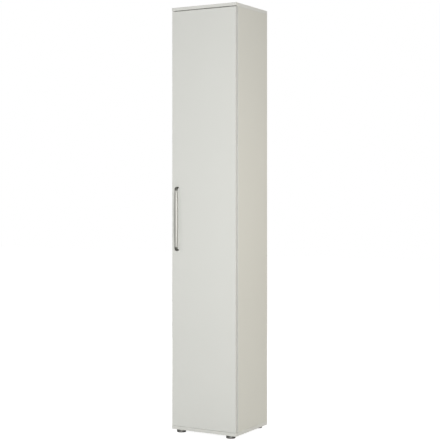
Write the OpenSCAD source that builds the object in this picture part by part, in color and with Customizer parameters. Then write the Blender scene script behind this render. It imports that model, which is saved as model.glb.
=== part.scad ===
// Tall narrow one-door wardrobe with concealed hinges, hanging rail, shelves and levelling feet.
// X runs along the width, Y from the door to the back, Z up from the floor.

/* [Cabinet] */
// Overall width
cabinet_w = 340; // [320:5:400]
// Depth from the door's front to the rear edges
cabinet_d = 300; // [285:5:380]
// Overall height from the floor to the top
cabinet_h = 1960; // [1860:10:2060]
// Thickness of the sides, top, bottom and shelves
board_t = 15; // [15:1:19]
// Thickness of the back panel
back_t = 3; // [3:0.5:5]
// Depth of the groove that holds the back panel
groove_deep = 7; // [5:0.5:8]
// Distance from the rear edges to that groove
groove_inset = 10; // [6:1:20]
// Clear height above the hat shelf
hat_space = 308; // [250:10:340]
// Setback of the fixed shelves from the front of the sides
fixed_setback = 2; // [1:0.5:6]
// Setback of the loose shelves from the front of the sides
loose_setback = 8; // [5:1:15]

/* [Door] */
// Thickness of the door
door_t = 16; // [16:1:19]
// Gap between the door and the outer face of each side
door_inset = 1.5; // [1:0.25:2.5]
// Gap between the door and the top panel
door_top_gap = 3.5; // [2:0.5:5]
// Gap between the door and the bottom panel
door_bottom_gap = 1; // [1:0.5:5]
// Chamfer on the door's upright back edges, one of which swings past the side
door_chamfer = 1.2; // [0.8:0.1:1.4]
// Chamfer on the door's upright front edges
door_ease = 0.5; // [0.3:0.1:1]

/* [Hinges] */
// Number of hinges
hinge_count = 4; // [3:1:4]
// Distance from the door's ends to the outer hinges
hinge_margin = 100; // [80:5:120]
// Distance of the hinge pin from the door's edge
pin_from_edge = 8.5; // [8.2:0.1:9]
// Depth of the hinge pin below the door's back face
pin_depth = 9; // [8.8:0.1:9.2]
// Radius of the hinge pin
pin_r = 1.25; // [1:0.05:1.3]
// Radius of the cup
cup_r = 17.4; // [17.2:0.1:17.6]
// Depth of the cup
cup_deep = 12.6; // [12.4:0.1:12.8]
// Width of the arm's horn
horn_w = 12; // [10:0.5:12.5]
// Length of the arm behind the door
arm_len = 55; // [52:1:62]

/* [Handle] */
// Overall length of the handle
handle_len = 294.5; // [200:0.5:340]
// How far the handle stands out from the door
handle_reach = 28; // [25:1:34]
// Width of the grip at its middle
handle_w = 18; // [14:0.5:22]
// Width of the handle at its ends
handle_foot_w = 9; // [7:0.5:14]
// Thickness of the handle's legs where they stand on the door
handle_foot_len = 6.5; // [6.5:0.5:10]
// Radius of the outer corners of the handle, seen from the side
handle_corner = 11; // [8:0.5:18]
// Distance from the cabinet's side to the middle of the handle
handle_from_side = 35.5; // [28:0.5:60]

/* [Feet] */
// Height of the bottom panel above the floor
foot_h = 13; // [12:0.5:16]
// Radius of the foot pad
pad_r = 21; // [16:0.5:21]
// Distance from the cabinet's side to the foot's axis
foot_from_side = 39; // [32:1:60]
// Distance from the front or rear edge to the foot's axis
foot_from_edge = 22; // [21:1:40]
// Radius of the threaded spindle
spindle_r = 4; // [3:0.5:4.5]

/* [Hanging rail] */
// Outer radius of the rail
rail_r = 10; // [8:0.5:12.5]
// Drop from the hat shelf to the rail's axis
rail_drop = 45; // [36:1:60]
// Wall of the rail tube
rail_wall = 1; // [0.8:0.1:2]

/* [Hidden] */
$fn = 48;

// Colours
board_colour = [0.85, 0.85, 0.83];
metal_colour = [0.72, 0.72, 0.70];
plastic_colour = [0.92, 0.92, 0.90];
foot_colour = [0.42, 0.42, 0.42];
wood_colour = [0.80, 0.65, 0.45];

// Small working values
over = 1;          // how far a cutting tool runs past a face
screw_gap = 0.05;  // radial gap of a shank in its pilot hole
run_gap = 0.04;    // radial gap of a pin that turns in its bore
seat_gap = 0.3;    // gap between pieces that rest close to each other
through_gap = 0.3; // radial gap of a screw in a hole that it passes through
tip_gap = 0.5;     // room past the tip of a screw

// Reference planes
front_y = -(cabinet_d - handle_reach) / 2;
rear_y = front_y + cabinet_d;
door_back_y = front_y + door_t;
sweep_r = max(
    norm([pin_from_edge - door_chamfer, pin_depth]),
    norm([pin_from_edge, pin_depth - door_chamfer])
);
swing_clearance = 0.4;
door_gap = sweep_r - pin_depth + swing_clearance;
carcass_y = door_back_y + door_gap;
back_clearance = 0.2;
back_edge_gap = 0.5;
back_y = rear_y - groove_inset - back_clearance - back_t;
inner_w = cabinet_w - 2 * board_t;
inner_x = inner_w / 2;
inner_z0 = foot_h + board_t;
inner_z1 = cabinet_h - board_t;

// Door
door_w = cabinet_w - 2 * door_inset;
door_z0 = inner_z0 + door_bottom_gap;
door_z1 = inner_z1 - door_top_gap;
door_h = door_z1 - door_z0;
door_edge_x = cabinet_w / 2 - door_inset;

// Hinges, in a frame at the door's hinge edge: X goes inwards, Y goes back from the door's back face
hinge_pitch = (door_h - 2 * hinge_margin) / (hinge_count - 1);
function hinge_z(i) = door_z0 + hinge_margin + i * hinge_pitch;
cup_rim = 3;                        // wood left between the cup and the door's edge
cup_gap = 0.1;                      // room round and under the cup
cup_hole_r = cup_r + cup_gap;
cup_x = cup_rim + cup_hole_r;
cup_wall = 0.8;
cup_floor = 0.8;
flange_t = 1;
flange_r = cup_r + 1;
flange_edge = 4.2;                  // where the flange is cut straight, so it clears the side
pocket_w = horn_w + 0.8;
pin_len = pocket_w + 5;
pin_end_gap = 0.1;
knuckle_r = pin_r + 1.05;
horn_top = 1;                       // horn above the pin's axis
horn_bottom = knuckle_r - 0.2;      // horn below it
arm_gap = 1.5;                      // between the cup's flange and the arm's neck
arm_x = pin_from_edge + pin_depth + flange_t + arm_gap;
neck_t = 4;
neck_lap = 1;                       // how far the neck reaches into the channel
side_face_x = board_t - door_inset; // inner face of the side
channel_extra_w = 3;
channel_w = horn_w + channel_extra_w;
channel_h = 7.5;
channel_wall = 1.5;
channel_end = 2;
channel_setback = 2;
channel_y = door_gap + channel_setback;
arm_end_y = door_gap + arm_len;
cup_screw_in = 6;
cup_screw_x = cup_x + cup_screw_in;
cup_screw_z = 24;
cup_screw_deep = 10;
cup_screw_head_r = 3.2;
cup_screw_head_t = 1.4;
wing_w = 14;
wing_h = 60;
cup_screw_r = 1.7;
system_setback = 37;                // first row of system holes, from the front of the side
plate_hole_y = door_gap + system_setback;
plate_hole_z = 16;
plate_half_h = 26;
plate_wing_t = 2;
plate_wing_w = 18;
plate_block_front = 18;             // from the block's front to the screws
plate_screw_gap = 0.1;
plate_screw_head_r = 4.2;
plate_screw_head_t = 1.6;
system_r = 2.5;                     // system hole
system_deep = 11;
arm_screw_r = 1.95;
arm_screw_head_r = 3.8;
arm_screw_head_t = 2;
adjust_from_start = 8;              // screws, from the ends of the arm's channel
fix_from_end = 10;
adjust_y = channel_y + adjust_from_start;
fix_y = arm_end_y - fix_from_end;

// Shelves
middle_under_hinge = 20;            // from the middle shelf to the plate above it
middle_top = hinge_z(1) - plate_half_h - middle_under_hinge;
middle_z = middle_top - board_t;
hat_z = inner_z1 - hat_space - board_t;
fixed_y = carcass_y + fixed_setback;
fixed_d = back_y - seat_gap - fixed_y;
loose_y = carcass_y + loose_setback;
loose_back_gap = 2;
loose_d = back_y - loose_back_gap - loose_y;
loose_gap = 1;
loose_count = 2;
loose_space = (middle_z - inner_z0 - loose_count * board_t) / (loose_count + 1);
function loose_z(i) = inner_z0 + (i + 1) * loose_space + i * board_t;
pin_peg_r = system_r - screw_gap;
pin_peg_out = 8;
pin_peg_end_gap = 1.5;
pin_collar_t = 0.8;
pin_collar_r = 4;
function pin_z(i) = loose_z(i) - pin_peg_r;
system_pitch = 32;
system_rows = [-1:1];
system_ys = [carcass_y + system_setback, back_y - system_setback];

// Cam connectors and dowels
cam_r = 7.4;
cam_hole_r = 7.5;
cam_deep = 12.3;
cam_hole_deep = cam_deep + 0.2;
cam_slot_len = 8;
cam_slot_w = 1.6;
cam_slot_deep = 2.5;
cam_reach = 24;                     // from the end of the board to the cam's axis
cam_setback = 55;
cam_ys = [carcass_y + cam_setback, back_y - cam_setback];
dowel_ys = [for (s = [0, 1]) cam_ys[s] + (s == 0 ? system_pitch : -system_pitch)];
bolt_hole_r = 4;
bolt_r = 2.9;
bolt_thread_r = system_r - screw_gap;
bolt_thread_len = system_deep - 0.6;
bolt_head_r = 3.4;
bolt_len = cam_reach - bolt_head_r; // from the end of the board to the head
bolt_neck_r = bolt_r - 1.2;
dowel_r = 4;
dowel_short = 11;
dowel_long = 20;
dowel_end_gap = 0.6;
cap_r = 8.5;
cap_t = 0.9;

// Hanging rail
rail_z = hat_z - rail_drop;
rail_front_gap = 16;
rail_rear_gap = 8;
rail_front_y = carcass_y + rail_front_gap;
rail_rear_y = back_y - rail_rear_gap;
bracket_w = 12;
bracket_ring = 3.6;
bracket_base_t = 4;
bracket_base_side = 8;
bracket_base_x = rail_r + bracket_base_side;
bracket_post_x = 6;
bracket_screw_side = 3;
bracket_screw_x = rail_r + bracket_screw_side;
bracket_setback = 14;
rail_screw_r = 1.9;
rail_screw_deep = board_t - 5;
rail_screw_head_r = 3.8;
rail_screw_head_t = 1.8;
end_cap_t = 2;
end_cap_rim = 0.8;
end_cap_plug = 8;

// Feet
pad_h = foot_h - 1.5;
socket_flange_t = 1.2;
socket_flange_r = 15;
socket_r = spindle_r + 3;
socket_h = board_t - 4;
socket_top_gap = 0.2;
access_r = spindle_r + 1;
access_cap_rim = 2;
access_cap_t = 1;
access_cap_plug = 2.5;
ball_r = spindle_r + 2;
ball_z0 = 3.3;
ball_h = 2.9;
ball_gap = 0.3;                     // room over and under the collar in its pocket
pocket_gap = 0.4;                   // room round the collar and the spindle
pad_ease = 1;
spindle_top = inner_z0 - access_cap_plug - 1;
hex_r = 0.6 * spindle_r;
hex_deep = 6;
foot_x = cabinet_w / 2 - foot_from_side;
foot_xy = [
    [-foot_x, front_y + foot_from_edge], [foot_x, front_y + foot_from_edge],
    [-foot_x, rear_y - foot_from_edge], [foot_x, rear_y - foot_from_edge],
];

// Wall bracket
wall_hole_r = 3;
wall_bracket_x = 30;
wall_bracket_h = 30;
wall_bracket_t = 2;
wall_bracket_d = 25;
wall_hole_drop = 18;
wall_hole_z = inner_z1 - wall_hole_drop;
wall_screw_x = 20;
wall_screw_setback = 14;
wall_screw_y = back_y - wall_screw_setback;

// Handle
handle_x = -cabinet_w / 2 + handle_from_side;
handle_z = (door_z0 + door_z1) / 2;
handle_screw_z = handle_len / 2 - handle_foot_len / 2;
handle_grip_t = 9;
handle_bow = 2;
handle_leg_run = 9.5;               // how far the inner side of a leg runs out from the door
handle_leg_slant = 0.5;
handle_slope = 5.5;
handle_bend = [[2, 1], [0.6, -1.5]]; // points that round the inner corner, from the grip's end
handle_taper = 3.2;                 // the higher, the nearer to its ends the handle narrows
handle_screw_r = 1.95;
handle_screw_in = 9;
handle_screw_head_r = 4.2;
handle_screw_head_t = 2.2;

// Soft stops
bumper_r = 4;
bumper_from_end = 40;

// A round cutter or bar along X, Y or Z, from a point in the positive direction
module bar_x(r, len) { rotate([0, 90, 0]) cylinder(r = r, h = len); }
module bar_y(r, len) { rotate([-90, 0, 0]) cylinder(r = r, h = len); }
module bar_z(r, len) { cylinder(r = r, h = len); }

// A board between two opposite corners
module board(low, high) { translate(low) cube(high - low); }

// Places children at the hinge i, with X inwards from the door's edge
module at_hinge(i) {
    translate([door_edge_x, door_back_y, hinge_z(i)]) mirror([1, 0, 0]) children();
}

// Places children once for the left side and once mirrored for the right side
module both_sides() {
    children();
    mirror([1, 0, 0]) children();
}

// Groove for the back panel, along the inner faces of the carcass
module back_groove() {
    board(
        [-inner_x - groove_deep, back_y - back_clearance, inner_z0 - groove_deep],
        [inner_x + groove_deep, back_y + back_t + back_clearance, inner_z1 + groove_deep]
    );
}

// Bores that the sides need at one end: z is the end of the board, up points into the board
module side_end_bores(z, up) {
    mid_x = -cabinet_w / 2 + board_t / 2;
    for (y = cam_ys) {
        translate([mid_x, y, up > 0 ? z - over : z - cam_reach])
            bar_z(bolt_hole_r, cam_reach + over);
        translate([-inner_x - cam_hole_deep, y, z + up * cam_reach])
            bar_x(cam_hole_r, cam_hole_deep + over);
    }
    for (y = dowel_ys)
        translate([mid_x, y, up > 0 ? z - over : z - dowel_long])
            bar_z(dowel_r, dowel_long + over);
}

// Pilot holes in a side for the bolts and dowels of a fixed shelf whose underside is at z
module side_shelf_bores(z) {
    for (y = cam_ys)
        translate([-inner_x - system_deep, y, z + board_t / 2])
            bar_x(system_r, system_deep + over);
    for (y = dowel_ys)
        translate([-inner_x - dowel_short, y, z + board_t / 2])
            bar_x(dowel_r, dowel_short + over);
}

// System holes in a side for the loose shelves
module side_pin_holes() {
    for (i = [0 : loose_count - 1], row = system_rows, y = system_ys)
        translate([-inner_x - system_deep, y, pin_z(i) + row * system_pitch])
            bar_x(system_r, system_deep + over);
}

// The left side board; the right one is its mirror image with hinge holes
module side_board() {
    difference() {
        board([-cabinet_w / 2, carcass_y, inner_z0], [-inner_x, rear_y, inner_z1]);
        back_groove();
        side_end_bores(inner_z0, 1);
        side_end_bores(inner_z1, -1);
        side_shelf_bores(middle_z);
        side_shelf_bores(hat_z);
        side_pin_holes();
    }
}

module side_left() { color(board_colour) side_board(); }

module side_right() {
    color(board_colour) difference() {
        mirror([1, 0, 0]) side_board();
        for (i = [0 : hinge_count - 1], s = [-1, 1])
            at_hinge(i)
                translate([side_face_x - over, plate_hole_y, s * plate_hole_z])
                    mirror([1, 0, 0]) translate([-over, 0, 0])
                        bar_x(system_r, system_deep + over);
    }
}

// Bores in the face of the top or bottom panel; z is the inner face, up points out of the board
module panel_bores(z, up) {
    mid_x = cabinet_w / 2 - board_t / 2;
    both_sides() {
        for (y = cam_ys)
            translate([mid_x, y, up > 0 ? z - system_deep : z - over])
                bar_z(system_r, system_deep + over);
        for (y = dowel_ys)
            translate([mid_x, y, up > 0 ? z - dowel_short : z - over])
                bar_z(dowel_r, dowel_short + over);
    }
}

module top_panel() {
    color(board_colour) difference() {
        board([-cabinet_w / 2, front_y, inner_z1], [cabinet_w / 2, rear_y, cabinet_h]);
        back_groove();
        panel_bores(inner_z1, -1);
        for (s = [-1, 1])
            translate([s * wall_screw_x, wall_screw_y, inner_z1 - over])
                bar_z(rail_screw_r + screw_gap, rail_screw_deep + over);
    }
}

module bottom_panel() {
    color(board_colour) difference() {
        board([-cabinet_w / 2, front_y, foot_h], [cabinet_w / 2, rear_y, inner_z0]);
        back_groove();
        panel_bores(inner_z0, 1);
        for (p = foot_xy) {
            translate([p.x, p.y, foot_h - over]) bar_z(socket_r + screw_gap, socket_h + over);
            translate([p.x, p.y, foot_h]) bar_z(access_r, board_t + over);
        }
    }
}

module back_panel() {
    edge = groove_deep - back_edge_gap;
    color(board_colour) difference() {
        board([-inner_x - edge, back_y, inner_z0 - edge], [inner_x + edge, back_y + back_t, inner_z1 + edge]);
        translate([0, back_y - over, wall_hole_z]) bar_y(wall_hole_r, back_t + 2 * over);
    }
}

// A fixed shelf with cam bores from below and bolt and dowel bores in its ends
module fixed_shelf(z) {
    difference() {
        board([-inner_x, fixed_y, z], [inner_x, fixed_y + fixed_d, z + board_t]);
        both_sides() {
            for (y = cam_ys) {
                translate([inner_x - cam_reach, y, z - over]) bar_z(cam_hole_r, cam_hole_deep + over);
                translate([inner_x - cam_reach, y, z + board_t / 2]) bar_x(bolt_hole_r, cam_reach + over);
            }
            for (y = dowel_ys)
                translate([inner_x - dowel_long, y, z + board_t / 2]) bar_x(dowel_r, dowel_long + over);
        }
    }
}

// Y positions of the rail brackets, at the middle of each
bracket_ys = [rail_front_y + bracket_setback, rail_rear_y - bracket_setback];

module hat_shelf() {
    color(board_colour) difference() {
        fixed_shelf(hat_z);
        for (y = bracket_ys, s = [-1, 1])
            translate([s * bracket_screw_x, y, hat_z - over])
                bar_z(rail_screw_r + screw_gap, rail_screw_deep + over);
    }
}

module middle_shelf() { color(board_colour) fixed_shelf(middle_z); }

module loose_shelf(i) {
    board(
        [-inner_x + loose_gap, loose_y, loose_z(i) + screw_gap],
        [inner_x - loose_gap, loose_y + loose_d, loose_z(i) + screw_gap + board_t]
    );
}

module shoe_shelf_lower() { color(board_colour) loose_shelf(0); }
module shoe_shelf_upper() { color(board_colour) loose_shelf(1); }

// One peg that carries a loose shelf at its corner, on the left side
module shelf_pin() {
    in_hole = system_deep - pin_peg_end_gap;
    translate([-inner_x - in_hole, 0, 0]) bar_x(pin_peg_r, in_hole + pin_peg_out);
    translate([-inner_x, 0, 0]) difference() {
        bar_x(pin_collar_r, pin_collar_t);
        translate([-over, -2 * pin_collar_r, pin_peg_r]) cube([3 * over, 4 * pin_collar_r, pin_collar_r]);
    }
}

module shelf_pins() {
    color(metal_colour) both_sides()
        for (i = [0 : loose_count - 1], y = system_ys)
            translate([0, y, pin_z(i)]) shelf_pin();
}

// A cam, with its face at the origin and its body along +Z; the bolt comes in from +X
module cam_lock() {
    difference() {
        bar_z(cam_r, cam_deep);
        translate([-bolt_head_r - 0.6, 0, board_t / 2]) bar_x(bolt_hole_r, cam_r + bolt_head_r + over);
        for (slot = [[cam_slot_len, cam_slot_w], [cam_slot_w, cam_slot_len]])
            translate([-slot.x / 2, -slot.y / 2, -over]) cube([slot.x, slot.y, over + cam_slot_deep]);
    }
}

// A bolt whose thread starts at the origin and points along -Z, with its head up inside the cam
module cam_bolt() {
    translate([0, 0, -bolt_thread_len]) bar_z(bolt_thread_r, bolt_thread_len);
    bar_z(bolt_r, bolt_len - 1);
    translate([0, 0, bolt_len - 2]) bar_z(bolt_neck_r, 3);
    translate([0, 0, bolt_len + 0.6]) bar_z(bolt_head_r - 0.3, bolt_head_r);
}

// A dowel whose short end is below the origin
module wood_dowel() {
    translate([0, 0, -dowel_short + dowel_end_gap])
        bar_z(dowel_r - screw_gap, dowel_short + dowel_long - 2 * dowel_end_gap);
}

// Places children at the four joints of the sides with the bottom panel and with the top panel, with Z
// pointing from the panel into the side
module at_side_ends(ys) {
    both_sides() for (y = ys) {
        translate([-cabinet_w / 2 + board_t / 2, y, inner_z0]) children();
        translate([-cabinet_w / 2 + board_t / 2, y, inner_z1]) mirror([0, 0, 1]) children();
    }
}

// Places children at the joints of the fixed shelves with the sides, with Z pointing into the shelf
module at_shelf_ends(ys) {
    both_sides() for (y = ys, z = [middle_z, hat_z])
        translate([-inner_x, y, z + board_t / 2]) rotate([0, 90, 0]) children();
}

// Places children at every cam, with Z into the board and X towards the bolt
module at_cams() {
    both_sides() for (y = cam_ys) {
        translate([-inner_x, y, inner_z0 + cam_reach]) rotate([0, 90, 180]) children();
        translate([-inner_x, y, inner_z1 - cam_reach]) rotate([0, -90, 0]) children();
        for (z = [middle_z, hat_z])
            translate([-inner_x + cam_reach, y, z]) rotate([0, 0, 180]) children();
    }
}

module cam_locks() { color(metal_colour) at_cams() cam_lock(); }

module cam_bolts() {
    color(metal_colour) {
        at_side_ends(cam_ys) cam_bolt();
        at_shelf_ends(cam_ys) cam_bolt();
    }
}

module cam_caps() {
    color(plastic_colour) at_cams() translate([0, 0, -cap_t]) bar_z(cap_r, cap_t);
}

module wood_dowels() {
    color(wood_colour) {
        at_side_ends(dowel_ys) wood_dowel();
        at_shelf_ends(dowel_ys) wood_dowel();
    }
}

// Door board with its upright edges chamfered, its cup bores and its screw holes
module door_panel() {
    c = door_chamfer;
    e = door_ease;
    hx = door_w / 2;
    color(board_colour) difference() {
        translate([0, 0, door_z0]) linear_extrude(door_h) polygon([
            [-hx + e, front_y], [hx - e, front_y], [hx, front_y + e], [hx, door_back_y - c],
            [hx - c, door_back_y], [-hx + c, door_back_y], [-hx, door_back_y - c], [-hx, front_y + e],
        ]);
        for (i = [0 : hinge_count - 1]) at_hinge(i) {
            translate([cup_x, -cup_deep - cup_gap, 0]) bar_y(cup_hole_r, cup_deep + cup_gap + over);
            for (s = [-1, 1])
                translate([cup_screw_x, -cup_screw_deep, s * cup_screw_z])
                    bar_y(cup_screw_r + screw_gap, cup_screw_deep + over);
        }
        for (s = [-1, 1])
            translate([handle_x, front_y - over, handle_z + s * handle_screw_z])
                bar_y(handle_screw_r + through_gap, door_t + 2 * over);
    }
}

// Soft stops on the back of the door that meet the front edge of the left side
module door_bumpers() {
    color(plastic_colour) for (z = [door_z0 + bumper_from_end, door_z1 - bumper_from_end])
        translate([-cabinet_w / 2 + board_t / 2, door_back_y, z]) bar_y(bumper_r, door_gap - seat_gap);
}

// Side view of the handle in the plane of reach and height, upper half
function handle_outline() =
    let(
        h = handle_len / 2,
        r = handle_corner,
        end = handle_reach - handle_bow,
        inner = handle_reach - handle_grip_t,
        outer_bow = [for (k = [0 : 4]) [handle_reach - handle_bow * pow(k / 4, 2), (h - r) * k / 4]],
        corner = [for (a = [15 : 15 : 90]) [end - r + r * cos(a), h - r + r * sin(a)]],
        leg_h = h - handle_foot_len,
        leg = [[0, h], [0, leg_h], [handle_leg_run, leg_h - handle_leg_slant]],
        bend = [for (p = handle_bend) [inner - handle_bow - p.x, leg_h - handle_slope + p.y]],
        inner_bow = [for (k = [3 : -1 : 0]) [inner - handle_bow * pow(k / 4, 2), bend[1].y * k / 4]]
    )
    concat(outer_bow, corner, leg, bend, inner_bow);

// Front view of the handle, upper right quarter: widest at the middle and drawn in to the legs
function handle_front() =
    let(h = handle_len / 2, w = handle_w / 2, e = handle_foot_w / 2)
    [for (k = [0 : 10]) [e + (w - e) * (1 - pow(k / 10, handle_taper)), h * k / 10 + (k == 10 ? over : 0)]];

function reversed(points) = [for (i = [len(points) - 1 : -1 : 0]) points[i]];

module handle() {
    side = handle_outline();
    quarter = handle_front();
    upper = concat(quarter, [for (p = reversed(quarter)) [-p.x, p.y]]);
    hole_in = handle_screw_in + tip_gap;
    color(metal_colour) translate([handle_x, front_y, handle_z]) difference() {
        intersection() {
            translate([-handle_w, 0, 0]) rotate([90, 0, 90]) linear_extrude(2 * handle_w)
                polygon(concat([for (p = side) [-p.x, p.y]], [for (p = reversed(side)) -p]));
            translate([0, over, 0]) rotate([90, 0, 0]) linear_extrude(handle_reach + 2 * over)
                polygon(concat(upper, -upper));
        }
        for (s = [-1, 1])
            translate([0, -hole_in, s * handle_screw_z])
                bar_y(handle_screw_r + screw_gap, hole_in + over);
    }
}

module handle_screws() {
    color(metal_colour) for (s = [-1, 1])
        translate([handle_x, 0, handle_z + s * handle_screw_z]) {
            translate([0, front_y - handle_screw_in, 0]) bar_y(handle_screw_r, handle_screw_in + door_t);
            translate([0, door_back_y, 0]) bar_y(handle_screw_head_r, handle_screw_head_t);
        }
}

// Cup pressed into the door: a drum with a pocket for the horn and a flange with two screw wings
module hinge_cup() {
    difference() {
        union() {
            translate([cup_x, -cup_deep, 0]) bar_y(cup_r, cup_deep);
            intersection() {
                translate([cup_x, 0, 0]) bar_y(flange_r, flange_t);
                translate([flange_edge, 0, -cup_x]) cube([2 * cup_x, flange_t, 2 * cup_x]);
            }
            translate([cup_screw_x - wing_w / 2, 0, -wing_h / 2]) cube([wing_w, flange_t, wing_h]);
        }
        intersection() {
            translate([cup_x, -cup_deep + cup_floor, 0]) bar_y(cup_r - cup_wall, cup_deep + over);
            translate([0, -cup_deep, -pocket_w / 2]) cube([2 * cup_x, cup_deep + flange_t + over, pocket_w]);
        }
        translate([pin_from_edge, -pin_depth, -pin_len / 2]) bar_z(pin_r + run_gap / 2, pin_len);
        for (s = [-1, 1])
            translate([cup_screw_x, -over, s * cup_screw_z])
                bar_y(cup_screw_r + through_gap, flange_t + 2 * over);
    }
}

// Arm fixed to the side: a channel on the plate, a neck past the door's edge and a horn to the pin
module hinge_arm() {
    difference() {
        union() {
            translate([0, 0, -horn_w / 2]) linear_extrude(horn_w) union() {
                translate([pin_from_edge, -pin_depth]) circle(r = knuckle_r);
                polygon([
                    [pin_from_edge, -pin_depth - horn_bottom], [arm_x + neck_t, -pin_depth - horn_bottom],
                    [arm_x + neck_t, channel_y + neck_lap], [arm_x, channel_y + neck_lap],
                    [arm_x, -pin_depth + horn_top], [pin_from_edge, -pin_depth + horn_top],
                ]);
            }
            translate([arm_x, channel_y, -channel_w / 2]) cube([channel_h, arm_end_y - channel_y, channel_w]);
        }
        translate([arm_x - over, channel_y + channel_end, -channel_w / 2 + channel_wall])
            cube([
                channel_h - channel_wall + over,
                arm_end_y - channel_y - 2 * channel_end,
                channel_w - 2 * channel_wall,
            ]);
        translate([pin_from_edge, -pin_depth, -horn_w]) bar_z(pin_r + run_gap, 2 * horn_w);
        for (y = [adjust_y, fix_y])
            translate([arm_x, y, 0]) bar_x(arm_screw_r + screw_gap, channel_h + over);
    }
}

// Plate on the side: two wings with screws and a block that carries the arm
module hinge_plate() {
    block_y = plate_hole_y - plate_block_front;
    difference() {
        union() {
            translate([side_face_x, plate_hole_y - plate_wing_w / 2, -plate_half_h])
                cube([plate_wing_t, plate_wing_w, 2 * plate_half_h]);
            translate([side_face_x, block_y, -channel_w / 2])
                cube([arm_x - side_face_x, arm_end_y - block_y, channel_w]);
        }
        for (s = [-1, 1])
            translate([side_face_x - over, plate_hole_y, s * plate_hole_z])
                bar_x(system_r + plate_screw_gap, plate_wing_t + 2 * over);
        translate([side_face_x - over, fix_y, 0])
            bar_x(arm_screw_r + screw_gap, arm_x - side_face_x + 2 * over);
    }
}

module hinge_cup_1() { color(metal_colour) at_hinge(0) hinge_cup(); }
module hinge_cup_2() { color(metal_colour) at_hinge(1) hinge_cup(); }
module hinge_cup_3() { color(metal_colour) at_hinge(2) hinge_cup(); }
module hinge_cup_4() { color(metal_colour) at_hinge(3) hinge_cup(); }
module hinge_arm_1() { color(metal_colour) at_hinge(0) hinge_arm(); }
module hinge_arm_2() { color(metal_colour) at_hinge(1) hinge_arm(); }
module hinge_arm_3() { color(metal_colour) at_hinge(2) hinge_arm(); }
module hinge_arm_4() { color(metal_colour) at_hinge(3) hinge_arm(); }
module hinge_plate_1() { color(metal_colour) at_hinge(0) hinge_plate(); }
module hinge_plate_2() { color(metal_colour) at_hinge(1) hinge_plate(); }
module hinge_plate_3() { color(metal_colour) at_hinge(2) hinge_plate(); }
module hinge_plate_4() { color(metal_colour) at_hinge(3) hinge_plate(); }

module hinge_pins() {
    color(metal_colour) for (i = [0 : hinge_count - 1]) at_hinge(i)
        translate([pin_from_edge, -pin_depth, -pin_len / 2 + pin_end_gap])
            bar_z(pin_r, pin_len - 2 * pin_end_gap);
}

module hinge_cup_screws() {
    color(metal_colour) for (i = [0 : hinge_count - 1], s = [-1, 1]) at_hinge(i)
        translate([cup_screw_x, 0, s * cup_screw_z]) {
            translate([0, -cup_screw_deep + tip_gap, 0])
                bar_y(cup_screw_r, cup_screw_deep - tip_gap + flange_t);
            translate([0, flange_t, 0]) bar_y(cup_screw_head_r, cup_screw_head_t);
        }
}

module hinge_plate_screws() {
    color(metal_colour) for (i = [0 : hinge_count - 1], s = [-1, 1]) at_hinge(i)
        translate([side_face_x, plate_hole_y, s * plate_hole_z]) {
            translate([-system_deep + tip_gap, 0, 0])
                bar_x(system_r - screw_gap, system_deep - tip_gap + plate_wing_t);
            translate([plate_wing_t, 0, 0]) bar_x(plate_screw_head_r, plate_screw_head_t);
        }
}

// For each hinge one screw that fixes the arm to the plate and one that adjusts its tilt
module hinge_arm_screws() {
    color(metal_colour) for (i = [0 : hinge_count - 1]) at_hinge(i) {
        translate([side_face_x + tip_gap, fix_y, 0])
            bar_x(arm_screw_r, arm_x + channel_h - side_face_x - tip_gap);
        translate([arm_x + channel_h, fix_y, 0]) bar_x(arm_screw_head_r, arm_screw_head_t);
        translate([arm_x + tip_gap, adjust_y, 0]) bar_x(arm_screw_r, channel_h);
    }
}

module rail_tube() {
    color(metal_colour) translate([0, rail_front_y, rail_z]) difference() {
        bar_y(rail_r, rail_rear_y - rail_front_y);
        translate([0, -over, 0]) bar_y(rail_r - rail_wall, rail_rear_y - rail_front_y + 2 * over);
    }
}

// Bracket that hangs the rail from the hat shelf
module rail_bracket(y) {
    translate([0, y - bracket_w / 2, 0]) difference() {
        union() {
            translate([-bracket_base_x, 0, hat_z - bracket_base_t])
                cube([2 * bracket_base_x, bracket_w, bracket_base_t]);
            translate([-bracket_post_x, 0, rail_z]) cube([2 * bracket_post_x, bracket_w, rail_drop]);
            translate([0, 0, rail_z]) bar_y(rail_r + bracket_ring, bracket_w);
        }
        translate([0, -over, rail_z]) bar_y(rail_r + screw_gap, bracket_w + 2 * over);
        for (s = [-1, 1])
            translate([s * bracket_screw_x, bracket_w / 2, hat_z - bracket_base_t - over])
                bar_z(rail_screw_r + through_gap, bracket_base_t + 2 * over);
    }
}

module rail_bracket_front() { color(metal_colour) rail_bracket(bracket_ys[0]); }
module rail_bracket_rear() { color(metal_colour) rail_bracket(bracket_ys[1]); }

// A wood screw that goes up into a board from the face of a plate at the origin
module wood_screw_up(plate_t) {
    bar_z(rail_screw_r, plate_t + rail_screw_deep - tip_gap);
    translate([0, 0, -rail_screw_head_t]) bar_z(rail_screw_head_r, rail_screw_head_t);
}

module rail_screws() {
    color(metal_colour) for (y = bracket_ys, s = [-1, 1])
        translate([s * bracket_screw_x, y, hat_z - bracket_base_t]) wood_screw_up(bracket_base_t);
}

module rail_end_caps() {
    color(plastic_colour) for (e = [[rail_front_y, 1], [rail_rear_y, -1]])
        translate([0, e[0], rail_z]) mirror([0, e[1] < 0 ? 1 : 0, 0]) {
            translate([0, -end_cap_t, 0]) bar_y(rail_r + end_cap_rim, end_cap_t);
            bar_y(rail_r - rail_wall - screw_gap, end_cap_plug);
        }
}

// Threaded socket let into the bottom panel from below
module foot_socket(i) {
    translate([foot_xy[i].x, foot_xy[i].y, 0]) difference() {
        union() {
            translate([0, 0, foot_h - socket_flange_t]) bar_z(socket_flange_r, socket_flange_t);
            translate([0, 0, foot_h]) bar_z(socket_r, socket_h - socket_top_gap);
        }
        translate([0, 0, foot_h - socket_flange_t - over]) bar_z(spindle_r + run_gap, board_t + 2 * over);
    }
}

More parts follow.
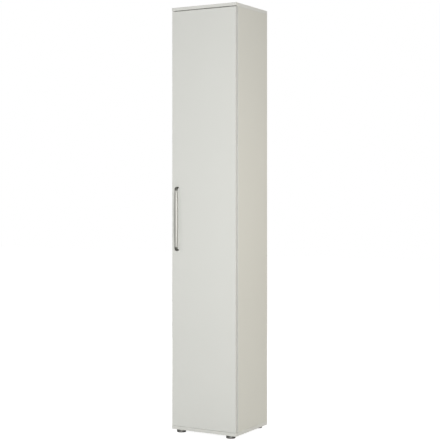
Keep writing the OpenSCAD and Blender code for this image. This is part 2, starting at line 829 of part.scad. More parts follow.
// Round pad that stands on the floor and holds the spindle's collar in an undercut pocket
module foot_pad(i) {
    c = pad_ease;
    neck_r = spindle_r + pocket_gap;
    pocket_r = ball_r + pocket_gap;
    pocket_z0 = ball_z0 - ball_gap;
    pocket_z1 = ball_z0 + ball_h + ball_gap;
    translate([foot_xy[i].x, foot_xy[i].y, 0]) rotate_extrude($fn = 64) polygon([
        [0, 0], [pad_r - c, 0], [pad_r, c], [pad_r, pad_h - c], [pad_r - c, pad_h],
        [neck_r, pad_h], [neck_r, pocket_z1], [pocket_r, pocket_z1], [pocket_r, pocket_z0], [0, pocket_z0],
    ]);
}

// Threaded spindle with a collar in the pad and a hexagon socket at its top
module foot_spindle(i) {
    translate([foot_xy[i].x, foot_xy[i].y, 0]) difference() {
        union() {
            translate([0, 0, ball_z0]) bar_z(ball_r, ball_h);
            translate([0, 0, ball_z0]) bar_z(spindle_r, spindle_top - ball_z0);
        }
        translate([0, 0, spindle_top - hex_deep]) cylinder(r = hex_r, h = hex_deep + over, $fn = 6);
    }
}

module foot_socket_1() { color(plastic_colour) foot_socket(0); }
module foot_socket_2() { color(plastic_colour) foot_socket(1); }
module foot_socket_3() { color(plastic_colour) foot_socket(2); }
module foot_socket_4() { color(plastic_colour) foot_socket(3); }
module foot_pad_1() { color(foot_colour) foot_pad(0); }
module foot_pad_2() { color(foot_colour) foot_pad(1); }
module foot_pad_3() { color(foot_colour) foot_pad(2); }
module foot_pad_4() { color(foot_colour) foot_pad(3); }
module foot_spindle_1() { color(metal_colour) foot_spindle(0); }
module foot_spindle_2() { color(metal_colour) foot_spindle(1); }
module foot_spindle_3() { color(metal_colour) foot_spindle(2); }
module foot_spindle_4() { color(metal_colour) foot_spindle(3); }

// Caps over the holes through which the spindles are turned from inside
module foot_access_caps() {
    color(plastic_colour) for (p = foot_xy) translate([p.x, p.y, inner_z0]) {
        bar_z(access_r + access_cap_rim, access_cap_t);
        translate([0, 0, -access_cap_plug]) bar_z(access_r - screw_gap, access_cap_plug);
    }
}

// Steel angle under the top panel that takes the screw into the wall
module wall_bracket() {
    corner = [wall_bracket_x, back_y, inner_z1];
    color(metal_colour) difference() {
        union() {
            board([-wall_bracket_x, back_y - wall_bracket_d, inner_z1 - wall_bracket_t], corner);
            board([-wall_bracket_x, back_y - wall_bracket_t, inner_z1 - wall_bracket_h], corner);
        }
        translate([0, back_y - wall_bracket_t - over, wall_hole_z])
            bar_y(wall_hole_r, wall_bracket_t + 2 * over);
        for (s = [-1, 1])
            translate([s * wall_screw_x, wall_screw_y, inner_z1 - wall_bracket_t - over])
                bar_z(rail_screw_r + through_gap, wall_bracket_t + 2 * over);
    }
}

module wall_bracket_screws() {
    color(metal_colour) for (s = [-1, 1])
        translate([s * wall_screw_x, wall_screw_y, inner_z1 - wall_bracket_t]) wood_screw_up(wall_bracket_t);
}

side_left();
side_right();
top_panel();
bottom_panel();
back_panel();
hat_shelf();
middle_shelf();
shoe_shelf_lower();
shoe_shelf_upper();
shelf_pins();
cam_locks();
cam_bolts();
cam_caps();
wood_dowels();
door_panel();
door_bumpers();
handle();
handle_screws();
hinge_cup_1();
hinge_cup_2();
hinge_cup_3();
hinge_cup_4();
hinge_arm_1();
hinge_arm_2();
hinge_arm_3();
hinge_arm_4();
hinge_plate_1();
hinge_plate_2();
hinge_plate_3();
hinge_plate_4();
hinge_pins();
hinge_cup_screws();
hinge_plate_screws();
hinge_arm_screws();
rail_tube();
rail_bracket_front();
rail_bracket_rear();
rail_screws();
rail_end_caps();
foot_socket_1();
foot_socket_2();
foot_socket_3();
foot_socket_4();
foot_pad_1();
foot_pad_2();
foot_pad_3();
foot_pad_4();
foot_spindle_1();
foot_spindle_2();
foot_spindle_3();
foot_spindle_4();
foot_access_caps();
wall_bracket();
wall_bracket_screws();
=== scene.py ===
import math

import bmesh
import bpy
from mathutils import Matrix, Vector


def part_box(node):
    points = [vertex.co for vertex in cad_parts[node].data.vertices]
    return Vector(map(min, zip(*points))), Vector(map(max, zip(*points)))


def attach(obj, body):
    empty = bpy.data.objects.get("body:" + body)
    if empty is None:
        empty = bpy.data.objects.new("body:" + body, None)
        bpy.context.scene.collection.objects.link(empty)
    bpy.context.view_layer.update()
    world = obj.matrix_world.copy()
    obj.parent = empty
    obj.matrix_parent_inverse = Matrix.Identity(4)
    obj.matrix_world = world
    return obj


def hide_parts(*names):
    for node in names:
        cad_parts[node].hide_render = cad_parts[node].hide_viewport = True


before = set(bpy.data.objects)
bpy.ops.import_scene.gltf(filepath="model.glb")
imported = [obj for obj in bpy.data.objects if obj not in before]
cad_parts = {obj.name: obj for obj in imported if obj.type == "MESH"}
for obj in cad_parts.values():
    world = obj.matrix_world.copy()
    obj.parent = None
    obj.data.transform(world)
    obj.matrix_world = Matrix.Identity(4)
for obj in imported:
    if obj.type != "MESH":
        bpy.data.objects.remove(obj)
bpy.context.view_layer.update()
MM = 0.001


# The view of the photograph: a level camera 5.2 m away, to the right of the cabinet's front.
# The picture is shifted down instead of the camera being tilted, so the uprights stay parallel.
picture_size = 440
camera = bpy.data.objects.new("camera", bpy.data.cameras.new("camera"))
bpy.context.scene.collection.objects.link(camera)
camera.location = (2.6078, -4.4877, 1.1236)
camera.rotation_euler = (math.radians(90), 0, math.radians(30.08))
camera.data.sensor_width = 36
camera.data.lens = 91.17
camera.data.shift_y = -31.23 / picture_size
camera.data.clip_end = 60
bpy.context.scene.camera = camera


# Finishes are written as sums on numbers that change over a surface.
# A Finish is one material, or the surround, and a Field is such a number, colour or direction in it.
class Field:
    def __init__(self, finish, socket):
        self.finish = finish
        self.socket = socket

    def work(self, operation, *values):
        return self.finish.add("ShaderNodeMath", {"operation": operation}, dict(enumerate(values)))

    def __add__(self, other):
        return self.work("ADD", self, other)

    def __sub__(self, other):
        return self.work("SUBTRACT", self, other)

    def __rsub__(self, other):
        return self.work("SUBTRACT", other, self)

    def __mul__(self, other):
        return self.work("MULTIPLY", self, other)

    def __abs__(self):
        return self.work("ABSOLUTE", self)

    def most(self, other):
        return self.work("MAXIMUM", self, other)

    __radd__ = __add__
    __rmul__ = __mul__


def socket_names(values):
    """Turns keys such as Base_Color into the names of sockets, such as Base Color."""
    return {key.replace("_", " "): value for key, value in values.items()}


class Finish:
    def __init__(self, holder, **plain):
        """The holder is a world, or the name of a new material; plain sets its shader's sockets."""
        self.holder = bpy.data.materials.new(holder) if isinstance(holder, str) else holder
        self.holder.use_nodes = True
        self.tree = self.holder.node_tree
        self.tree.nodes.clear()
        if plain:
            self.shader = self.add("ShaderNodeBsdfPrincipled", sockets=socket_names(plain))
            self.add("ShaderNodeOutputMaterial", sockets={0: self.shader})

    def put(self, node, sockets):
        for key, value in sockets.items():
            if isinstance(value, Field):
                self.tree.links.new(value.socket, node.inputs[key])
            else:
                node.inputs[key].default_value = value

    def add(self, kind, settings=None, sockets=None, out=0):
        """Adds one node: its settings first, then the values or links of its sockets."""
        node = self.tree.nodes.new(kind)
        for key, value in (settings or {}).items():
            if key == "stops":
                ramp = node.color_ramp.elements
                while len(ramp) < len(value):
                    ramp.new(1)
                for stop, (position, colour) in zip(ramp, value):
                    stop.position = position
                    stop.color = colour
            else:
                setattr(node, key, value)
        self.put(node, sockets or {})
        return Field(self, node.outputs[out]) if node.outputs else None

    def spot(self):
        return self.add("ShaderNodeTexCoord", out="Object")

    def place(self, scale):
        return self.add("ShaderNodeMapping", sockets={"Vector": self.spot(), "Scale": scale})

    def noise(self, size, stretch=(1, 1, 1), detail=3, rough=0.5):
        return self.add("ShaderNodeTexNoise", sockets={
            "Vector": self.place(stretch), "Scale": 1 / size, "Detail": detail, "Roughness": rough})

    def between(self, share, first, second):
        return self.add("ShaderNodeMix", {"data_type": "RGBA"}, {0: share, 6: first, 7: second}, out=2)

    def bump(self, height, depth, strength):
        return self.add("ShaderNodeBump", sockets={"Height": height, "Distance": depth, "Strength": strength})

    def use(self, **changing):
        self.put(self.shader.socket.node, socket_names(changing))
        return self.holder


# The sides are 15 mm particle boards with an off-white melamine face pressed on under heat.
# Their visible edges have a thin plastic band, and drilled holes and grooves show the raw board.
def darker(colour, share):
    return (*[part * share for part in colour[:3]], 1)


def board_face(name, colour):
    finish = Finish(name, Base_Color=colour, Roughness=0.4, Specular_IOR_Level=0.4)
    cloud = finish.noise(0.35, detail=2)
    pearl = finish.noise(0.9 * MM, detail=1)
    fleck = finish.noise(3 * MM, detail=4)
    return finish.use(
        Base_Color=finish.between(cloud * 0.6 + fleck * 0.3, darker(colour, 0.975), colour),
        Roughness=0.36 + 0.08 * cloud + 0.06 * pearl,
        Normal=finish.bump(pearl, 0.02 * MM, 0.35))


def edge_band(name, colour):
    finish = Finish(name, Base_Color=colour, Roughness=0.3, Specular_IOR_Level=0.4)
    drag = finish.noise(2 * MM, stretch=(1, 1, 0.15), detail=2)
    return finish.use(
        Base_Color=finish.between(drag, darker(colour, 0.97), colour),
        Roughness=0.27 + 0.1 * drag,
        Normal=finish.bump(drag, 0.015 * MM, 0.3))


def raw_board():
    finish = Finish("raw_particle_board", Roughness=0.9)
    chip = 1.6 * MM
    chips = finish.add(
        "ShaderNodeTexVoronoi", sockets={"Vector": finish.place((1, 1, 1.8)), "Scale": 1 / chip}, out="Color")
    tone = finish.add("ShaderNodeSeparateColor", sockets={0: chips})
    shades = (
        (0, (0.20, 0.12, 0.06, 1)),
        (0.5, (0.42, 0.29, 0.16, 1)),
        (1, (0.60, 0.46, 0.28, 1)))
    return finish.use(
        Base_Color=finish.add("ShaderNodeValToRGB", {"stops": shades}, {0: tone}),
        Normal=finish.bump(tone, 0.3 * MM, 0.7))


carcass_face = board_face("carcass_melamine", (0.685, 0.687, 0.632, 1))
# Painted shade: the band on the sides and the door is the panels' band made about 14% darker, as shade on the
# door's edges and in the gaps beside the door.
upright_band_painted_shade = edge_band("upright_edge_band_painted_shade", (0.607, 0.616, 0.590, 1))
raw_core = raw_board()


def merged_copy(node):
    """A bmesh of a CAD node with its loose triangles joined at their corners."""
    mesh = bmesh.new()
    mesh.from_mesh(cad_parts[node].data)
    bmesh.ops.remove_doubles(mesh, verts=mesh.verts, dist=2e-6)
    return mesh


def whole_copy(node):
    """A merged copy whose flat faces are in one piece."""
    mesh = merged_copy(node)
    bmesh.ops.dissolve_limit(mesh, angle_limit=math.radians(0.5), verts=mesh.verts, edges=mesh.edges)
    return mesh


def box_planes(part, low, high):
    """The sides of a box that a face or edge lies on, as (axis, end) pairs."""
    return [
        (axis, end) for axis in range(3) for end, wall in enumerate((low, high))
        if all(abs(v.co[axis] - wall[axis]) < 0.02 * MM for v in part.verts)]


def round_edges(mesh, edges, radius):
    bmesh.ops.bevel(
        mesh, geom=edges, offset=radius, offset_type="OFFSET", affect="EDGES",
        segments=2, profile=0.5, material=-1, clamp_overlap=True)


def lies_flat(face):
    return max(abs(part) for part in face.normal) > 0.99999


def make_piece(name, mesh, body, nodes, materials):
    """Turns a bmesh into a piece that rides on a body and stands for CAD nodes."""
    data = bpy.data.meshes.new(name)
    mesh.to_mesh(data)
    mesh.free()
    for material in materials:
        data.materials.append(material)
    piece = bpy.data.objects.new(name, data)
    bpy.context.scene.collection.objects.link(piece)
    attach(piece, body)
    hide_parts(*nodes)
    return piece


def near_walls(place, low, high, gap):
    """How many of the three axes have a wall of the box within the gap of a place."""
    return sum(min(abs(place[a] - low[a]), abs(place[a] - high[a])) < gap for a in range(3))


def dress_face(face, planes, thick, outside):
    """Picks pressed face, edge band or raw core; thick is the axis that the board is thin along."""
    if planes and planes[0][0] == thick:
        face.material_index = 0
    else:
        face.material_index = 1 if outside else 2
    face.smooth = not lies_flat(face)


def make_board(node, thick, materials):
    """A board of the carcass from its CAD node, with its outer edges eased."""
    low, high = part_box(node)
    mesh = whole_copy(node)
    ease = 0.6 * MM
    round_edges(mesh, [e for e in mesh.edges if len(box_planes(e, low, high)) == 2], ease)
    for face in mesh.faces:
        planes = box_planes(face, low, high)
        eased = not lies_flat(face) and any(near_walls(v.co, low, high, ease * 1.01) > 1 for v in face.verts)
        dress_face(face, planes, thick, outside=bool(planes) or eased)
    make_piece(node + "_board", mesh, "carcass", [node], materials)


upright_board = (carcass_face, upright_band_painted_shade, raw_core)
for node in ("side_left", "side_right"):
    make_board(node, thick=0, materials=upright_board)


# The top and bottom panels are the same board laid flat over and under the sides and the door.
# All their edges are banded, because the front and both ends show.
panel_band = edge_band("panel_edge_band", (0.705, 0.712, 0.68, 1))
level_board = (carcass_face, panel_band, raw_core)
for node in ("top_panel", "bottom_panel"):
    make_board(node, thick=2, materials=level_board)


# The two fixed shelves are held by cams and tie the sides together; the two loose ones lie on pegs.
# They are the same board, set a little back from the front.
for node in ("hat_shelf", "middle_shelf", "shoe_shelf_lower", "shoe_shelf_upper"):
    make_board(node, thick=2, materials=level_board)


# The back is a 3 mm hardboard that slides in the grooves of the carcass.
# It is lacquered white towards the inside and left brown behind.
def raw_hardboard():
    finish = Finish("raw_hardboard", Roughness=0.8)
    cloud = finish.noise(0.12, detail=3)
    fibre = finish.noise(1.2 * MM, stretch=(1, 1, 0.6), detail=5, rough=0.65)
    return finish.use(
        Base_Color=finish.between(cloud * 0.5 + fibre * 0.5, (0.23, 0.135, 0.07, 1), (0.40, 0.26, 0.145, 1)),
        Roughness=0.7 + 0.2 * fibre,
        Normal=finish.bump(fibre, 0.1 * MM, 0.6))


def lacquered_hardboard():
    finish = Finish("lacquered_hardboard", Roughness=0.5)
    fibre = finish.noise(1.5 * MM, detail=4, rough=0.6)
    return finish.use(
        Base_Color=finish.between(fibre, (0.66, 0.66, 0.62, 1), (0.70, 0.70, 0.66, 1)),
        Roughness=0.45 + 0.12 * fibre,
        Normal=finish.bump(fibre, 0.04 * MM, 0.4))


back = whole_copy("back_panel")
for face in back.faces:
    face.material_index = 0 if face.normal.y < -0.9 else 1
    face.smooth = not lies_flat(face)
hardboard = (lacquered_hardboard(), raw_hardboard())
make_piece("back_hardboard", back, "carcass", ["back_panel"], hardboard)


# Cams of cast zinc are let into the boards and pull on steel bolts; beech dowels keep them in line.
# They sit inside the joints, and plastic caps a little over 17 mm across hide the cams.
def plain_metal(name, colour, rough, grain=1.0 * MM, stretch=(1, 1, 1), depth=0.01 * MM):
    finish = Finish(name, Base_Color=colour, Metallic=1.0, Roughness=rough)
    tone = finish.noise(12 * MM, detail=3)
    marks = finish.noise(grain, stretch=stretch, detail=2)
    return finish.use(
        Base_Color=finish.between(0.4 * tone + 0.5 * marks, darker(colour, 0.86), colour),
        Roughness=rough - 0.06 + 0.14 * marks,
        Normal=finish.bump(marks, depth, 0.5))


def moulded_plastic(name, colour, rough):
    finish = Finish(name, Base_Color=colour, Roughness=rough)
    skin = finish.noise(0.5 * MM, detail=2)
    return finish.use(
        Base_Color=finish.between(skin, darker(colour, 0.95), colour),
        Roughness=rough - 0.05 + 0.1 * skin,
        Normal=finish.bump(skin, 0.02 * MM, 0.5))


def beech():
    finish = Finish("beech", Roughness=0.6)
    grain = finish.noise(0.8 * MM, stretch=(0.1, 1, 1), detail=4)
    return finish.use(
        Base_Color=finish.between(grain, (0.46, 0.28, 0.14, 1), (0.68, 0.47, 0.28, 1)),
        Normal=finish.bump(grain, 0.1 * MM, 0.5))


zinc = plain_metal("zinc_plate", (0.60, 0.60, 0.58, 1), rough=0.34)
cast_zinc = plain_metal("cast_zinc", (0.42, 0.42, 0.41, 1), rough=0.48, grain=0.6 * MM)
white_plastic = moulded_plastic("white_plastic", (0.74, 0.74, 0.70, 1), rough=0.45)


def make_fitting(node, body, material, ease=0.0):
    """A small part from its CAD node, with round faces smooth and sharp edges eased."""
    mesh = whole_copy(node)
    if ease:
        sharp = [e for e in mesh.edges if len(e.link_faces) == 2 and e.calc_face_angle() > math.radians(25)]
        round_edges(mesh, sharp, ease)
    for face in mesh.faces:
        face.smooth = not lies_flat(face)
    piece = make_piece(node + "_made", mesh, body, [node], [material])
    piece.data.set_sharp_from_angle(angle=math.radians(50))


make_fitting("cam_locks", "carcass", cast_zinc)
make_fitting("cam_bolts", "carcass", zinc)
make_fitting("wood_dowels", "carcass", beech())
make_fitting("cam_caps", "carcass", white_plastic, ease=0.25 * MM)
make_fitting("shelf_pins", "carcass", zinc, ease=0.2 * MM)


# The clothes rail is a chromed steel tube from front to back, because the cabinet is shallower than
# a hanger is wide. Two cast brackets screwed under the hat shelf carry it, and caps close its ends.
rail_chrome = plain_metal(
    "rail_chrome", (0.78, 0.78, 0.78, 1), rough=0.14,
    grain=3 * MM, stretch=(1, 0.1, 1), depth=0.003 * MM)
make_fitting("rail_tube", "carcass", rail_chrome, ease=0.2 * MM)
for node in ("rail_bracket_front", "rail_bracket_rear"):
    make_fitting(node, "carcass", rail_chrome, ease=0.5 * MM)
make_fitting("rail_end_caps", "carcass", white_plastic, ease=0.4 * MM)


# Screws are plated steel with a domed head and a cross recess for the driver.
# Each one takes its place and size from its solid in the frame.
def loose_boxes(node):
    """The lowest and highest corner of each separate solid of a CAD node."""
    mesh = merged_copy(node)
    left = set(mesh.verts)
    boxes = []
    while left:
        found = [left.pop()]
        for vert in found:
            for edge in vert.link_edges:
                other = edge.other_vert(vert)
                if other in left:
                    left.remove(other)
                    found.append(other)
        boxes.append([Vector([pick(v.co[a] for v in found) for a in range(3)]) for pick in (min, max)])
    mesh.free()
    return sorted(boxes, key=lambda b: tuple(round(c, 5) for c in b[0]))


def next_face(mesh, face):
    """Extrudes a face in place and returns the new one, which alone closes the solid."""
    out = bmesh.ops.extrude_face_region(mesh, geom=[face])["geom"]
    bmesh.ops.delete(mesh, geom=[face], context="FACES_ONLY")
    return next(part for part in out if isinstance(part, bmesh.types.BMFace))


def cross_outline(arm, reach):
    """A cross of 24 points, anticlockwise from the middle of its right end."""
    corners = [
        (reach, -arm), (reach, arm), (arm, arm), (arm, reach), (-arm, reach), (-arm, arm),
        (-reach, arm), (-reach, -arm), (-arm, -arm), (-arm, -reach), (arm, -reach), (arm, -arm)]
    outline = []
    for here, there in zip(corners, corners[1:] + corners[:1]):
        outline += [((here[0] + there[0]) / 2, (here[1] + there[1]) / 2), there]
    return outline


def add_screw(mesh, axis, towards, low, high, head, shank):
    """A screw along an axis of the frame; towards is the end, 1 or -1, where its head is.

    Its rings are the end of the shank, the head's underside and rim, and two steps of the dome.
    """
    length = high[axis] - low[axis]
    radius = max((high[a] - low[a]) / 2 for a in range(3) if a != axis)
    outline = cross_outline(arm=radius * 0.11, reach=radius * 0.5)
    disc = bmesh.ops.create_circle(mesh, cap_ends=True, segments=len(outline), radius=shank)
    verts = set(disc["verts"])
    top = disc["verts"][0].link_faces[0]
    rings = (
        (length - head, shank), (0, radius), (head * 0.35, radius),
        (head * 0.35, radius * 0.88), (head * 0.3, radius * 0.55))
    wide = shank
    for rise, wider in rings:
        top = next_face(mesh, top)
        bmesh.ops.translate(mesh, verts=top.verts, vec=(0, 0, rise))
        bmesh.ops.scale(mesh, verts=top.verts, vec=(wider / wide, wider / wide, 1))
        verts.update(top.verts)
        wide = wider

    # The crown's edge becomes a cross, which is then sunk as the recess.
    top = next_face(mesh, top)
    around = sorted(top.verts, key=lambda v: math.atan2(v.co.y, v.co.x) % (2 * math.pi))
    for vert, (across, along) in zip(around, outline):
        vert.co.x, vert.co.y = across, along
    verts.update(top.verts)
    top = next_face(mesh, top)
    bmesh.ops.translate(mesh, verts=top.verts, vec=(0, 0, -head * 0.6))
    bmesh.ops.scale(mesh, verts=top.verts, vec=(0.7, 0.7, 1))
    verts.update(top.verts)

    turn = Vector((0, 0, 1)).rotation_difference(Vector([towards if a == axis else 0 for a in range(3)]))
    start = (low + high) / 2
    start[axis] = low[axis] if towards > 0 else high[axis]
    bmesh.ops.transform(
        mesh, matrix=Matrix.Translation(start) @ turn.to_matrix().to_4x4(), verts=list(verts))


def make_screws(node, body, axis, towards, head, shank):
    mesh = bmesh.new()
    for low, high in loose_boxes(node):
        add_screw(mesh, axis, towards, low, high, head, shank)
    bmesh.ops.recalc_face_normals(mesh, faces=mesh.faces)
    for face in mesh.faces:
        face.smooth = True
    piece = make_piece(node + "_made", mesh, body, [node], [zinc])
    piece.data.set_sharp_from_angle(angle=math.radians(38))


make_screws("rail_screws", "carcass", axis=2, towards=-1, head=1.8 * MM, shank=1.9 * MM)


# A steel angle under the top panel takes the screw that holds the cabinet to the wall.
# Its own short screws go up into the panel.
make_fitting("wall_bracket", "carcass", zinc, ease=0.35 * MM)
make_screws("wall_bracket_screws", "carcass", axis=2, towards=-1, head=1.8 * MM, shank=1.9 * MM)


# Each levelling foot is a turned pad with a felt disc under it, on a threaded spindle.
# The spindle turns in a plastic socket let into the bottom panel, and a cap hides it inside.
def satin_grey():
    finish = Finish("foot_satin_grey", Metallic=1.0, Roughness=0.5, Specular_Tint=(0.03, 0.03, 0.03, 1))
    turned = finish.noise(2 * MM, stretch=(1, 1, 12), detail=2)
    return finish.use(
        Base_Color=finish.between(turned, (0.13, 0.13, 0.125, 1), (0.18, 0.18, 0.17, 1)),
        Roughness=0.44 + 0.12 * turned,
        Normal=finish.bump(turned, 0.02 * MM, 0.5))


foot_grey = satin_grey()


def spun(outline, centre):
    """A closed solid of revolution from (radius, height) points between two points on its axis."""
    mesh = bmesh.new()
    verts = [mesh.verts.new((centre[0] + radius, centre[1], height)) for radius, height in outline]
    edges = [mesh.edges.new(pair) for pair in zip(verts, verts[1:])]
    bmesh.ops.spin(
        mesh, geom=verts + edges, cent=(centre[0], centre[1], 0), axis=(0, 0, 1),
        angle=2 * math.pi, steps=64, use_merge=True)
    bmesh.ops.remove_doubles(mesh, verts=mesh.verts, dist=1e-6)
    bmesh.ops.recalc_face_normals(mesh, faces=mesh.faces)
    for face in mesh.faces:
        face.smooth = True
    return mesh


# The felt, the groove over it, the pad's rounded rims, and the hole and pocket for the spindle's end.
felt_in, felt_ease, felt_thick = 0.1 * MM, 0.3 * MM, 1.2 * MM
groove_in, groove_low, groove_high = 0.4 * MM, 1.35 * MM, 1.6 * MM
rim_low, rim_top, shoulder = 0.3 * MM, 0.4 * MM, 1.3 * MM
hole, hole_ease = 4.4 * MM, 0.2 * MM
pocket, pocket_floor, pocket_roof = 6.4 * MM, 3.0 * MM, 6.5 * MM
for number in range(1, 5):
    node = f"foot_pad_{number}"
    low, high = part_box(node)
    radius, tall = (high.x - low.x) / 2, high.z
    outline = [
        (0, 0), (radius - groove_in, 0), (radius - felt_in, felt_ease), (radius - felt_in, felt_thick),
        (radius - groove_in, groove_low), (radius - groove_in, groove_high),
        (radius, groove_high + rim_low), (radius, tall - shoulder),
        (radius - rim_top, tall - rim_top), (radius - shoulder, tall),
        (hole + hole_ease, tall), (hole, tall - hole_ease),
        (hole, pocket_roof), (pocket, pocket_roof), (pocket, pocket_floor), (0, pocket_floor)]
    turned = spun(outline, (low + high) / 2)
    pad = make_piece(node + "_turned", turned, f"foot_{number}", [node], [foot_grey])
    pad.data.set_sharp_from_angle(angle=math.radians(40))
    make_fitting(f"foot_spindle_{number}", f"spindle_{number}", zinc)
    make_fitting(f"foot_socket_{number}", "carcass", white_plastic, ease=0.2 * MM)
make_fitting("foot_access_caps", "carcass", white_plastic, ease=0.3 * MM)


# The hinges are pressed and plated steel: a plate on the side, an arm on the plate, and a cup in
# the door that turns on a pin in the arm's horn. One screw fixes the arm and one adjusts it.
nickel = plain_metal("nickel_plate", (0.66, 0.65, 0.63, 1), rough=0.24, grain=4 * MM, depth=0.006 * MM)
for number in range(1, 5):
    make_fitting(f"hinge_plate_{number}", "carcass", nickel, ease=0.3 * MM)
    make_fitting(f"hinge_arm_{number}", "carcass", nickel, ease=0.35 * MM)
    make_fitting(f"hinge_cup_{number}", "door", nickel, ease=0.3 * MM)
make_fitting("hinge_pins", "door", zinc)
make_screws("hinge_plate_screws", "carcass", axis=0, towards=-1, head=1.6 * MM, shank=2.45 * MM)
make_screws("hinge_cup_screws", "door", axis=1, towards=1, head=1.4 * MM, shank=1.7 * MM)
make_fitting("hinge_arm_screws", "carcass", zinc)


# The door is one more melamine board, from the bottom panel to the top panel, banded all round.
# It hangs on the four cups, with soft stops inside and screws through it that hold the handle.
# The door's edges take the darker upright band, whose colour holds painted shade.
door_board = (board_face("door_melamine", (0.69, 0.70, 0.67, 1)), upright_band_painted_shade, raw_core)


def make_door():
    """The door from its CAD node, whose upright edges are banded round to the face."""
    low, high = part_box("door_panel")
    mesh = whole_copy("door_panel")
    for face in mesh.faces:
        planes = box_planes(face, low, high)
        by_edge = all(min(abs(v.co.x - low.x), abs(v.co.x - high.x)) < 1.3 * MM for v in face.verts)
        dress_face(face, planes, thick=1, outside=bool(planes) or by_edge and abs(face.normal.z) < 0.01)
    make_piece("door_panel_board", mesh, "door", ["door_panel"], door_board)


make_door()
make_fitting("door_bumpers", "door", white_plastic, ease=0.8 * MM)
make_screws("handle_screws", "door", axis=1, towards=1, head=2.2 * MM, shank=1.95 * MM)


# The handle is an upright bow of satin nickel with a rounded front, widest and proudest at its middle.
# Its ends turn back to the door as short legs, which the screws from inside reach; near each end the colour
# is painted dark, as painted shade and painted dark reflections.
def satin_nickel_painted_shade_ends(middle, tall):
    finish = Finish("satin_nickel_painted_shade_ends", Metallic=1.0, Roughness=0.55)
    brushed = finish.noise(1.2 * MM, stretch=(1, 1, 0.04), detail=2)
    height = finish.add("ShaderNodeSeparateXYZ", sockets={0: finish.spot()}, out=2)
    # Painted shade: the base colour turns dark over the last 15 to 19 mm of each end of the handle.
    painted_shade_from, painted_shade_to = tall / 2 - 19.3 * MM, tall / 2 - 15.3 * MM
    painted_shade = finish.add("ShaderNodeMapRange", {"interpolation_type": "SMOOTHSTEP"}, {
        "Value": abs(height - middle), "From Min": painted_shade_from, "From Max": painted_shade_to})
    bright = finish.between(brushed, (0.413, 0.413, 0.389, 1), (0.461, 0.461, 0.432, 1))
    return finish.use(
        Base_Color=finish.between(painted_shade, bright, (0.12, 0.12, 0.108, 1)),
        Roughness=0.57 + 0.06 * brushed,
        Normal=finish.bump(brushed, 0.01 * MM, 0.4))


def mirrored_section(points):
    """A whole cross-section from its half, as (across, deep) shares from its front to one side."""
    return [(-across, deep) for across, deep in reversed(points[1:])] + points


def make_handle():
    """The bow, swept from its top end to its bottom one through sections between two outlines."""
    low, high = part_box("handle")
    middle = (low + high) / 2
    half, reach, wide = (high.z - low.z) / 2, high.y - low.y, (high.x - low.x) / 2
    grip, bow, corner, inner_stop = 9 * MM, 2 * MM, 11 * MM, 15 * MM
    leg, leg_slant, leg_wide, leg_narrowing = 5.4 * MM, 0.8 * MM, 4.5 * MM, 0.62
    leg_reach = reach - bow - corner
    swell, proud_share = 3.2, 0.6

    shares = [k / 12 for k in range(13)]
    outer = [(reach - bow * t * t, (half - corner) * t) for t in shares]
    inner = [(reach - grip - bow * t * t, (half - inner_stop) * t) for t in shares]
    turns = [math.radians(90 * k / 8) for k in range(9)]
    for turn in turns[1:]:
        outer.append((leg_reach + corner * math.cos(turn), half - corner + corner * math.sin(turn)))
    # The inside of the bend, as reach from the door and distance from the handle's end, in mm.
    inner_bend = [
        (16.9, 13.9), (16.6, 12.9), (16.1, 11.8), (15.3, 10.5),
        (14.2, 9.1), (12.8, 7.9), (11.2, 6.9), (9.5, 6.2)]
    inner += [(y * MM, half - z * MM) for y, z in inner_bend]
    for share in (0.66, 0.33, 0):
        outer.append((leg_reach * share, half))
        inner.append((inner_bend[-1][0] * MM * share, half - leg - leg_slant * share))
    halves = list(zip(outer, inner))
    stations = [(out, into, 1) for out, into in reversed(halves)]
    stations += [(out, into, -1) for out, into in halves[1:]]

    flank = [(1, 0.08), (0.93, 0)]
    fullness, side_depth = 0.9, 0.32
    round_half = [
        (math.sin(turn) ** fullness, side_depth + (1 - side_depth) * math.cos(turn) ** fullness)
        for turn in turns]
    boxy_half = [
        (0, 1), (0.2, 0.995), (0.4, 0.98), (0.6, 0.96), (0.78, 0.93),
        (0.88, 0.89), (0.95, 0.82), (0.99, 0.73), (1, 0.62)]
    round_section = mirrored_section(round_half + flank)
    boxy_section = mirrored_section(boxy_half + flank)

    def lay(verts, station):
        """Places one section: rounded at the bow's middle, boxy at its ends, narrower down the legs."""
        out, into, side = station
        proud = min((into[0] + out[0]) / 2 / (reach * proud_share), 1)
        boxy = min((into[1] + out[1]) / 2 / half, 1) ** swell
        for vert, soft, square in zip(verts, round_section, boxy_section):
            across, deep = (a + (b - a) * boxy for a, b in zip(soft, square))
            y = into[0] + (out[0] - into[0]) * deep
            z = into[1] + (out[1] - into[1]) * deep
            width = leg_wide + (wide - leg_wide) * (1 - min(z / half, 1) ** swell)
            width *= leg_narrowing + (1 - leg_narrowing) * proud
            vert.co = (middle.x + across * width, high.y - y, middle.z + side * z)

    mesh = bmesh.new()
    verts = [mesh.verts.new() for _ in round_section]
    lay(verts, stations[0])
    front = mesh.faces.new(verts)
    for station in stations[1:]:
        front = bmesh.ops.extrude_discrete_faces(mesh, faces=[front])["faces"][0]
        lay(front.verts, station)
    bmesh.ops.holes_fill(mesh, edges=[e for e in mesh.edges if e.is_boundary])
    bmesh.ops.recalc_face_normals(mesh, faces=mesh.faces)
    for face in mesh.faces:
        face.smooth = len(face.verts) == 4
    finish = satin_nickel_painted_shade_ends(middle.z, high.z - low.z)
    piece = make_piece("bow_handle", mesh, "door", ["handle"], [finish])
    piece.data.set_sharp_from_angle(angle=math.radians(40))


make_handle()


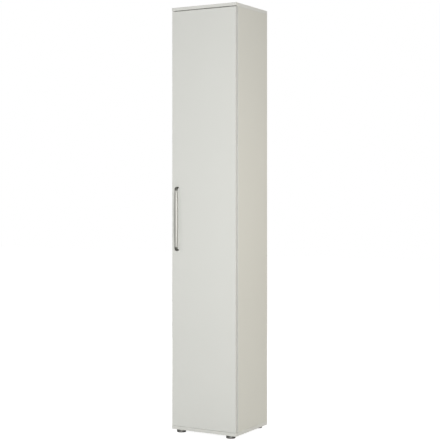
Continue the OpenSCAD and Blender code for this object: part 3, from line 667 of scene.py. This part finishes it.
# The studio: a pale floor that keeps a soft shadow, a white surround for the camera and for gloss,
# and soft lamps: the strongest on the door, a warmer one on the side, and fill for what the photo hides.
# The fill lamps leave no mirror image, which would bleach a face that is seen at a slant.
def make_lamp(name, place, target, size, power, colour=(1, 1, 1), spread=180, mirrored=True):
    lamp = bpy.data.lights.new(name, "AREA")
    lamp.shape = "RECTANGLE"
    lamp.size, lamp.size_y = size
    lamp.energy = power
    lamp.color = colour
    lamp.spread = math.radians(spread)
    holder = bpy.data.objects.new(name, lamp)
    holder.location = place
    holder.rotation_euler = (Vector(target) - Vector(place)).to_track_quat("-Z", "Y").to_euler()
    holder.visible_camera = False
    holder.visible_glossy = mirrored
    bpy.context.scene.collection.objects.link(holder)


make_lamp(
    "front_lamp", (1.85, -3.33, 1.34), target=(-0.83, -0.5, 1.22),
    size=(1.2, 1.0), power=62.3, spread=140)
make_lamp(
    "side_lamp", (2.4, 0.0, 1.02), target=(0, 0, 1.02),
    size=(1.2, 1.4), power=3.4, colour=(1, 0.9, 0.79), spread=95)
make_lamp("left_fill", (-2.6, 2.0, 1.1), target=(0, 0.1, 1.1), size=(1.2, 1.0), power=34, mirrored=False)
make_lamp("back_fill", (-0.9, 3.0, 1.1), target=(0, 0, 1.1), size=(1.2, 1.0), power=30, mirrored=False)
make_lamp("top_fill", (0, 0.2, 4.4), target=(0, 0.1, 0), size=(1.0, 1.0), power=30, mirrored=False)

floor_mesh = bmesh.new()
bmesh.ops.create_grid(floor_mesh, x_segments=1, y_segments=1, size=12)
floor_data = bpy.data.meshes.new("floor")
floor_mesh.to_mesh(floor_data)
floor_mesh.free()
floor = bpy.data.objects.new("floor", floor_data)
bpy.context.scene.collection.objects.link(floor)
floor_finish = Finish("studio_floor", Roughness=0.7, Specular_IOR_Level=0.0)
seen = floor_finish.add("ShaderNodeLightPath", out="Is Camera Ray")
floor_data.materials.append(floor_finish.use(
    Base_Color=floor_finish.between(seen, (0.8, 0.8, 0.79, 1), (0.35, 0.35, 0.35, 1)),
    Emission_Color=(1, 1, 1, 1), Emission_Strength=seen * 0.92))

surround = bpy.data.worlds.new("surround")
bpy.context.scene.world = surround
sky = Finish(surround)
seen = sky.add("ShaderNodeLightPath", out="Is Camera Ray")
glossy = sky.add("ShaderNodeLightPath", out="Is Glossy Ray")
clear = sky.add("ShaderNodeLightPath", out="Is Transmission Ray")
shown = seen.most(glossy.most(clear))
ambient = 0.28
backdrop = sky.add("ShaderNodeBackground", sockets={
    "Color": sky.between(shown, (1, 0.97, 0.92, 1), (1, 1, 1, 1)),
    "Strength": shown * (1 - ambient) + ambient})
sky.add("ShaderNodeOutputWorld", sockets={0: backdrop})

bpy.context.scene.view_settings.view_transform = "Standard"
